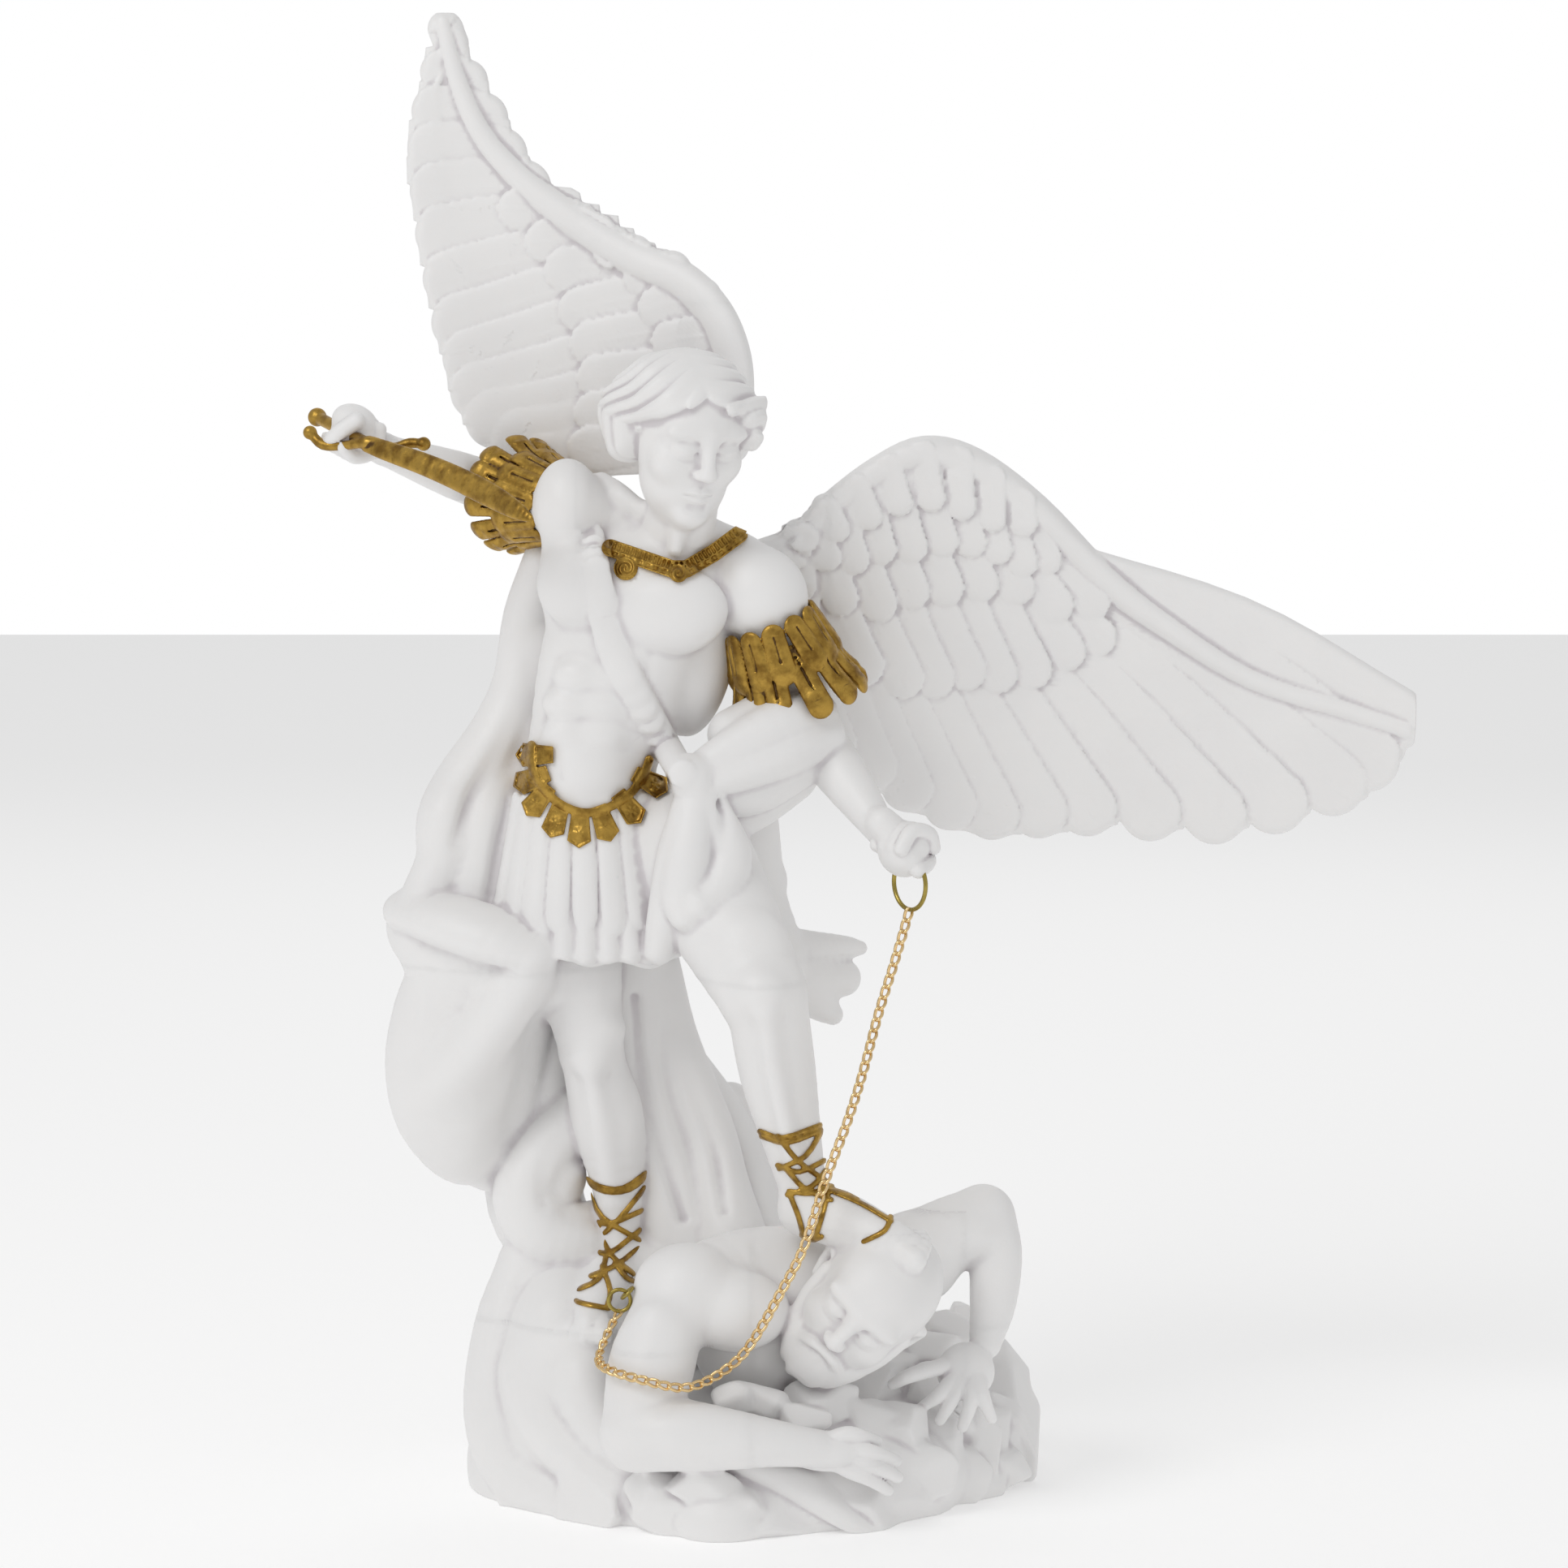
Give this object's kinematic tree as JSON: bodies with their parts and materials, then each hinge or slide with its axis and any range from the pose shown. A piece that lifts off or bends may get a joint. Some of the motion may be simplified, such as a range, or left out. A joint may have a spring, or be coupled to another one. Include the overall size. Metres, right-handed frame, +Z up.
{
  "type": "archangel statue",
  "caption": "Cast figurine of a winged archangel standing on a fallen demon on a rock, with a raised sword and a fine chain from hand to demon's arm.",
  "frame": {"origin": "middle of the base's underside, below the figure's middle plane", "axes": "+Z up, -Y to the front that the picture shows, +X to the viewer's right"},
  "size_m": [0.2478, 0.1117, 0.3306],
  "materials": {
    "white_resin": "satin white marble resin",
    "gold_paint": "brushed-on antique gold paint",
    "brass_wire": "drawn wire",
    "gold_chain": "bright plated"
  },
  "bodies": {
    "root": {"statue": "white_resin", "sword": "gold_paint", "hand_ring": "brass_wire", "arm_eye": "brass_wire", "arm_ring": "brass_wire", "chain": "gold_chain"}
  },
  "joints": []
}
